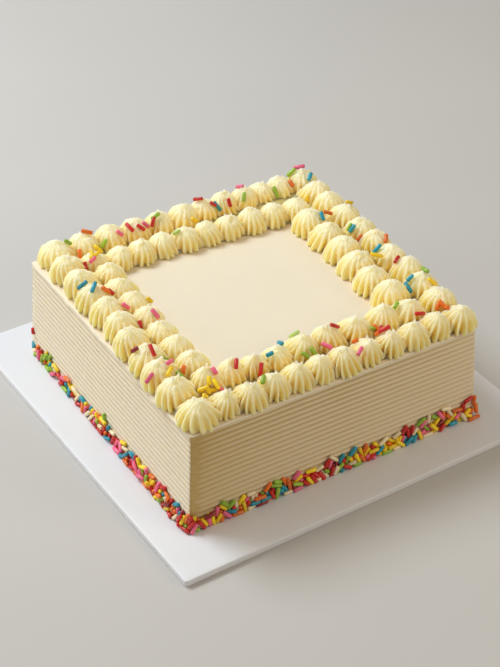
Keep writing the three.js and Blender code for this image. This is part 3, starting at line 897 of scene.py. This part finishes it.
def node(tree, kind, inputs, **settings):
    """Adds one shader node. The inputs map a socket's name or number to a value, to another node, whose first
    output is meant, or to one of its outputs."""
    made = tree.nodes.new("ShaderNode" + kind)
    for name, value in settings.items():
        setattr(made, name, value)
    for socket, value in inputs.items():
        if isinstance(value, bpy.types.Node):
            value = value.outputs[0]
        if isinstance(value, bpy.types.NodeSocket):
            tree.links.new(value, made.inputs[socket])
        else:
            made.inputs[socket].default_value = value
    return made


def new_material(name):
    """An empty material, and the function that adds a node to it."""
    material = bpy.data.materials.new(name)
    material.use_nodes = True
    material.node_tree.nodes.clear()
    return material, partial(node, material.node_tree)


def spread_buttercream(colours):
    """Buttercream spread with a palette knife and combed: a soft satin fat with fine pores and faint drag
    marks. Light goes a little way in, and painted shade from the groove attribute darkens the grooves and the
    shaded sides."""
    material, add = new_material("buttercream_spread_and_combed")
    place = add("TexCoord", {}).outputs["Object"]
    # Cloudy patches 28 mm across
    patches = add("TexNoise", {"Vector": place, "Scale": 1 / (28 * MM), "Detail": 3})
    # Drag marks: 45 mm long along the sides and 1.1 mm high
    stretched = add("Mapping", {"Vector": place, "Scale": (1 / 45, 1 / 45, 1 / 1.1)})
    drag = add("TexNoise", {"Vector": stretched, "Scale": 1 / MM, "Detail": 2})
    # Pores about 0.9 mm apart
    pores = add("TexNoise", {"Vector": place, "Scale": 1 / (0.9 * MM), "Detail": 2})
    tones = {0: patches, MIX_A: linear("#eee3ce"), MIX_B: (*colours.icing, 1)}
    cloudy = add("Mix", tones, data_type="RGBA")
    # Painted shade: the groove attribute mixes in the darker groove colour, up to 0.6 of it
    groove = add("Attribute", {}, attribute_name="groove").outputs["Fac"]
    groove_shade_amount = add("Math", {0: groove, 1: 0.6}, operation="MULTIPLY", use_clamp=True)
    tones = {0: groove_shade_amount, MIX_A: cloudy.outputs[MIX_RESULT], MIX_B: (*colours.icing_groove_shade, 1)}
    tint = add("Mix", tones, data_type="RGBA")
    marks = add("Bump", {"Height": drag, "Strength": 0.22, "Distance": 0.35 * MM})
    pits = add("Bump", {"Height": pores, "Strength": 0.2, "Distance": 0.12 * MM, "Normal": marks})
    finish = {
        "Base Color": tint.outputs[MIX_RESULT],
        "Roughness": add("MapRange", {"Value": drag, "To Min": 0.46, "To Max": 0.62}),
        "IOR": 1.46,
        "Subsurface Weight": 0.2,
        "Subsurface Radius": (1.0, 0.85, 0.4),
        "Subsurface Scale": 1.2 * MM,
        "Normal": pits,
    }
    add("OutputMaterial", {"Surface": add("BsdfPrincipled", finish)})
    return material


def piped_buttercream(colours):
    """Buttercream pressed through a star nozzle: a soft fat that light goes deep into, with painted shade in
    a warmer colour in the folds and at the foot, and a painted highlight that makes the tips paler."""
    material, add = new_material("buttercream_piped")
    place = add("TexCoord", {}).outputs["Object"]
    # Cloudy patches 9 mm across
    patches = add("TexNoise", {"Vector": place, "Scale": 1 / (9 * MM), "Detail": 3})
    # Ragged grain 0.8 mm across
    grain = add("TexNoise", {"Vector": place, "Scale": 1 / (0.8 * MM), "Detail": 3})
    tones = {0: patches, MIX_A: linear("#ffe8b2"), MIX_B: (*colours.piping, 1)}
    cloudy = add("Mix", tones, data_type="RGBA")
    # Painted shade: where the crest value is low the colour goes towards the piping's fold-shade colour
    crest = add("Attribute", {}, attribute_name="crest").outputs["Fac"]
    unshaded_part = add("MapRange", {"Value": crest, "To Min": 0.15, "To Max": 1.0})
    tones = {0: unshaded_part, MIX_A: (*colours.piping_fold_shade, 1), MIX_B: cloudy.outputs[MIX_RESULT]}
    fold_shade = add("Mix", tones, data_type="RGBA")
    # Painted highlight: the colour goes paler towards the tips
    tip = add("Attribute", {}, attribute_name="tip").outputs["Fac"]
    tones = {0: tip, MIX_A: fold_shade.outputs[MIX_RESULT], MIX_B: linear("#ffedc6")}
    tip_highlight = add("Mix", tones, data_type="RGBA")
    finish = {
        "Base Color": tip_highlight.outputs[MIX_RESULT],
        "Roughness": add("MapRange", {"Value": grain, "To Min": 0.4, "To Max": 0.58}),
        "IOR": 1.46,
        "Subsurface Weight": 1.0,
        "Subsurface Radius": (1.0, 0.97, 0.68),
        "Subsurface Scale": 7.0 * MM,
        "Normal": add("Bump", {"Height": grain, "Strength": 0.25, "Distance": 0.14 * MM}),
    }
    add("OutputMaterial", {"Surface": add("BsdfPrincipled", finish)})
    return material


def pressed_sugar():
    """Pressed sugar strands with a thin shine: strong dye that is a little uneven, and a fine dusty grain."""
    material, add = new_material("pressed_sugar_strands")
    place = add("TexCoord", {}).outputs["Object"]
    dye = add("Attribute", {}, attribute_name="shade")
    # Specks of paler sugar 0.7 mm across
    specks = add("TexNoise", {"Vector": place, "Scale": 1 / (0.7 * MM), "Detail": 2})
    dusty = add("MapRange", {"Value": specks, "From Min": 0.45, "From Max": 0.8, "To Max": 0.07})
    tint = add("Mix", {0: dusty, MIX_A: dye, MIX_B: linear("#fff4e6")}, data_type="RGBA")
    finish = {
        "Base Color": tint.outputs[MIX_RESULT],
        "Roughness": add("MapRange", {"Value": specks, "To Min": 0.22, "To Max": 0.4}),
        "IOR": 1.5,
        "Subsurface Weight": 0.12,
        "Subsurface Radius": (1.0, 0.7, 0.5),
        "Subsurface Scale": 0.8 * MM,
        "Normal": add("Bump", {"Height": specks, "Strength": 0.15, "Distance": 0.1 * MM}),
    }
    add("OutputMaterial", {"Surface": add("BsdfPrincipled", finish)})
    return material


def coated_card(colours):
    """White coated card: smooth, satin, with faint cloudy fibre and a very low orange-peel."""
    material, add = new_material("coated_white_card")
    place = add("TexCoord", {}).outputs["Object"]
    # Cloudiness of the pulp, 14 mm across
    cloud = add("TexNoise", {"Vector": place, "Scale": 1 / (14 * MM), "Detail": 4})
    # Coating's texture, 1.5 mm across
    peel = add("TexNoise", {"Vector": place, "Scale": 1 / (1.5 * MM), "Detail": 2})
    tones = {0: cloud, MIX_A: linear("#e4e4e6"), MIX_B: (*colours.card, 1)}
    tint = add("Mix", tones, data_type="RGBA")
    finish = {
        "Base Color": tint.outputs[MIX_RESULT],
        "Roughness": add("MapRange", {"Value": cloud, "To Min": 0.4, "To Max": 0.52}),
        "IOR": 1.5,
        "Normal": add("Bump", {"Height": peel, "Strength": 0.12, "Distance": 0.08 * MM}),
    }
    add("OutputMaterial", {"Surface": add("BsdfPrincipled", finish)})
    return material


def pale_floor():
    """Pale painted board: matt, with faint clouds."""
    material, add = new_material("pale_matt_paint")
    place = add("TexCoord", {}).outputs["Object"]
    cloud = add("TexNoise", {"Vector": place, "Scale": 6, "Detail": 2})
    tint = add("Mix", {0: cloud, MIX_A: linear("#c3c0bc"), MIX_B: linear("#c8c5c1")}, data_type="RGBA")
    paint = add("BsdfPrincipled", {"Base Color": tint.outputs[MIX_RESULT], "Roughness": 0.8})
    add("OutputMaterial", {"Surface": paint})
    return material


def length_property(name, description, size):
    """A length property whose default is in millimetres."""
    return bpy.props.FloatProperty(name=name, description=description, default=size * MM, unit="LENGTH")


def colour_property(name, description, code):
    """A colour property whose default is an sRGB hex value."""
    return bpy.props.FloatVectorProperty(
        name=name, description=description, default=linear(code)[:3], subtype="COLOR", size=3, min=0, max=1
    )


class RibbonCakeSizes(bpy.types.PropertyGroup):
    """Sizes that a user may change."""

    comb_pitch: length_property("Comb pitch", "From one combed ridge to the next", 3.55)
    comb_depth: length_property("Comb depth", "Depth of the combed grooves", 1.65)
    nozzle_teeth: bpy.props.IntProperty(
        name="Nozzle teeth", description="Ridges on each rosette", default=14, min=5
    )
    ridge_depth: bpy.props.FloatProperty(
        name="Ridge depth",
        description="Depth of a rosette's grooves as a part of the ridge's width",
        default=0.42,
        subtype="FACTOR",
    )
    strand_radius: length_property("Strand radius", "Radius of a sugar strand", 1.3)
    strand_length: length_property("Strand length", "Usual length of a sugar strand", 6.8)
    band_strands: bpy.props.IntProperty(
        name="Band strands", description="Sugar strands round the foot", default=720, min=40
    )


class RibbonCakeColours(bpy.types.PropertyGroup):
    """Colours that a user may change: the icing, the card and the sugar strands."""

    icing: colour_property("Icing", "Spread buttercream", "#ebe0c7")
    # Colour of the painted shade in the combed grooves and on the shaded sides
    icing_groove_shade: colour_property("Icing grooves", "Combed grooves", "#c6aa6c")
    piping: colour_property("Piping", "Piped buttercream", "#ffe4a0")
    # Colour of the painted shade in the piping's folds, at its foot and on the bed
    piping_fold_shade: colour_property("Piping grooves", "Folds of the piping", "#f6da78")
    card: colour_property("Card", "The board's coating", "#e4e7ee")
    red: colour_property("Red", "Red sugar strands", "#c8140e")
    dark_red: colour_property("Dark red", "Dark red sugar strands", "#8e1620")
    orange: colour_property("Orange", "Orange sugar strands", "#e8721c")
    yellow: colour_property("Yellow", "Yellow sugar strands", "#f8d414")
    green: colour_property("Green", "Green sugar strands", "#94ba34")
    lime: colour_property("Lime", "Pale green sugar strands", "#b4d272")
    teal: colour_property("Teal", "Teal sugar strands", "#1696ae")
    pink: colour_property("Pink", "Pink sugar strands", "#ef6c92")
    cream: colour_property("Cream", "Cream sugar strands", "#f3e3bd")


class RIBBON_CAKE_OT_lay_board(bpy.types.Operator):
    """Make the white card board under the cake"""

    bl_idname = "ribbon_cake.lay_board"
    bl_label = "Lay board"

    def execute(self, context):
        card = coated_card(context.scene.ribbon_cake_colours)
        finish_piece(put_mesh("card_board", board_surface(), {}), card, "board_card", "cake_board")
        return {"FINISHED"}


class RIBBON_CAKE_OT_ice_cake(bpy.types.Operator):
    """Make the iced cake with its smooth top and combed sides"""

    bl_idname = "ribbon_cake.ice_cake"
    bl_label = "Ice cake"

    def execute(self, context):
        surface, groove = iced_body(context.scene.ribbon_cake_sizes)
        # The groove attribute carries the painted shade of the combed sides
        piece = put_mesh("combed_icing", surface, {"groove": groove})
        finish_piece(piece, spread_buttercream(context.scene.ribbon_cake_colours), "cake_icing", "iced_cake")
        return {"FINISHED"}


class RIBBON_CAKE_OT_pipe_rosettes(bpy.types.Operator):
    """Pipe the eight rows of rosettes"""

    bl_idname = "ribbon_cake.pipe_rosettes"
    bl_label = "Pipe rosettes"

    def execute(self, context):
        material = piped_buttercream(context.scene.ribbon_cake_colours)
        for name, row in all_rows().items():
            rings, foot, tip, groove, tip_highlight = rosettes_surface(row, context.scene.ribbon_cake_sizes)
            ring, side = name.split("_")
            bed = piping_bed(row, SIDES.index(side), ring == "inner")
            bed = shells(bed[None], bed[:1].mean(1), bed[-1:].mean(1))
            whole = np.ones(len(bed[0]))
            # The bed carries painted shade: part of the fold-shade colour between the rosettes
            solids = [put_mesh("bed", bed, {"crest": 0.55 * whole, "tip": 0 * whole})]
            # Neighbours overlap, so every other rosette goes into one mesh and the rest into another
            for start in (0, 1):
                every = slice(start, None, 2)
                ends = np.zeros(len(foot[every]))
                # crest is one less the painted shade, and tip is the painted highlight
                attributes = {
                    "crest": 1 - np.concatenate([groove[every].ravel(), ends, ends]),
                    "tip": np.concatenate([tip_highlight[every].ravel(), ends, ends + 1]),
                }
                solids.append(put_mesh("rosettes", shells(rings[every], foot[every], tip[every]), attributes))
            piece = join_solids(f"rosettes_{name}", solids)
            finish_piece(piece, material, "piped_icing", name)
        return {"FINISHED"}


class RIBBON_CAKE_OT_scatter_strands(bpy.types.Operator):
    """Heap sugar strands round the foot and scatter them over the piping"""

    bl_idname = "ribbon_cake.scatter_strands"
    bl_label = "Scatter sugar strands"

    def execute(self, context):
        sizes, colours = context.scene.ribbon_cake_sizes, context.scene.ribbon_cake_colours
        material = pressed_sugar()
        radius = sizes.strand_radius / MM
        middles, directions, lengths = band_of_strands(sizes)
        limits = np.cumsum(BAND_SHARES)
        pick = part_drawn(BAND_SEED, np.arange(len(middles)), 58)
        names = [BAND_COLOURS[i] for i in np.searchsorted(limits / limits[-1], pick)]
        loose, places, ways, reaches = zip(*LOOSE_STRANDS)
        names += loose
        middles = np.concatenate([middles, np.array(places) + [0, 0, BOARD_TOP]])
        directions = np.concatenate([directions, ways])
        lengths = np.concatenate([lengths, reaches])
        surface = strand_surface(middles, directions, lengths, radius, BAND_SEED)
        foot = put_mesh("strands_round_foot", surface, {"shade": strand_shades(names, colours, BAND_SEED)})
        finish_piece(foot, material, "sugar_strands", "iced_cake")

        *strands, names = piping_strands(sizes)
        surface = strand_surface(*strands, radius, BAND_SEED + 1)
        shades = strand_shades(names, colours, BAND_SEED + 1)
        piping = put_mesh("strands_on_piping", surface, {"shade": shades})
        finish_piece(piping, material, "sugar_strands", *PIPING_STRANDS)
        return {"FINISHED"}


def add_softbox(name, place, size, watts, colour):
    """An oval soft light at a place, facing the cake."""
    light = bpy.data.lights.new(name, "AREA")
    light.shape = "ELLIPSE"
    light.size, light.size_y = size
    light.energy = watts
    light.color = linear(colour)[:3]
    place = Vector(place)
    put_object(name, light).matrix_world = Matrix.LocRotScale(place, place.to_track_quat("Z", "Y"), None)


class RIBBON_CAKE_OT_set_stage(bpy.types.Operator):
    """Set the floor, lights, world and camera"""

    bl_idname = "ribbon_cake.set_stage"
    bl_label = "Set stage"

    def execute(self, context):
        scene = context.scene
        scene.view_settings.view_transform = "Standard"
        corners = np.array([[-1, -1, 0], [1, -1, 0], [1, 1, 0], [-1, 1, 0]]) * FLOOR_REACH
        floor = put_mesh("floor", (corners, np.array([[0, 1, 2, 3]]), np.zeros((0, 3), int)), {})
        floor.data.materials.append(pale_floor())

        scene.world = bpy.data.worlds.new("studio")
        scene.world.use_nodes = True
        tree = scene.world.node_tree
        tree.nodes.clear()
        fill = node(tree, "Background", {"Color": linear("#fff4ea"), "Strength": WORLD_LIGHT})
        node(tree, "OutputWorld", {"Surface": fill})
        for softbox in SOFTBOXES:
            add_softbox(*softbox)

        lens = bpy.data.cameras.new("camera")
        lens.sensor_width = SENSOR
        lens.lens = FOCAL_PIXELS / max(PHOTO_SIZE) * SENSOR
        view = Matrix.Translation(Vector((*CAKE_MIDDLE, BOARD_TOP)) * MM)
        for angle, axis in ((CAMERA_YAW, "Z"), (math.pi / 2 - CAMERA_PITCH, "X"), (CAMERA_ROLL, "Z")):
            view = view @ Matrix.Rotation(angle, 4, axis)
        scene.camera = put_object("camera", lens)
        scene.camera.matrix_world = view @ Matrix.Translation(Vector(CAMERA_PLACE) * MM)
        return {"FINISHED"}


class RIBBON_CAKE_PT_panel(bpy.types.Panel):
    """Lists the cake's operators and sizes"""

    bl_idname = "RIBBON_CAKE_PT_panel"
    bl_label = "Ribbon cake"
    bl_space_type = "VIEW_3D"
    bl_region_type = "UI"
    bl_category = "Ribbon cake"

    def draw(self, context):
        for operator in OPERATORS:
            self.layout.operator(operator.bl_idname)
        for title, group in GROUPS.items():
            box = self.layout.box()
            for name in group.__annotations__:
                box.prop(getattr(context.scene, title), name)


GROUPS = {"ribbon_cake_sizes": RibbonCakeSizes, "ribbon_cake_colours": RibbonCakeColours}
OPERATORS = [
    RIBBON_CAKE_OT_set_stage,
    RIBBON_CAKE_OT_lay_board,
    RIBBON_CAKE_OT_ice_cake,
    RIBBON_CAKE_OT_pipe_rosettes,
    RIBBON_CAKE_OT_scatter_strands,
]
CLASSES = [*GROUPS.values(), *OPERATORS, RIBBON_CAKE_PT_panel]


def register():
    for listed in CLASSES:
        bpy.utils.register_class(listed)
    for title, group in GROUPS.items():
        setattr(bpy.types.Scene, title, bpy.props.PointerProperty(type=group))


def unregister():
    for title in GROUPS:
        delattr(bpy.types.Scene, title)
    for listed in reversed(CLASSES):
        bpy.utils.unregister_class(listed)


def main():
    register()
    bpy.ops.ribbon_cake.set_stage()
    bpy.ops.ribbon_cake.lay_board()
    bpy.ops.ribbon_cake.ice_cake()
    bpy.ops.ribbon_cake.pipe_rosettes()
    bpy.ops.ribbon_cake.scatter_strands()


if __name__ == "__main__":
    main()
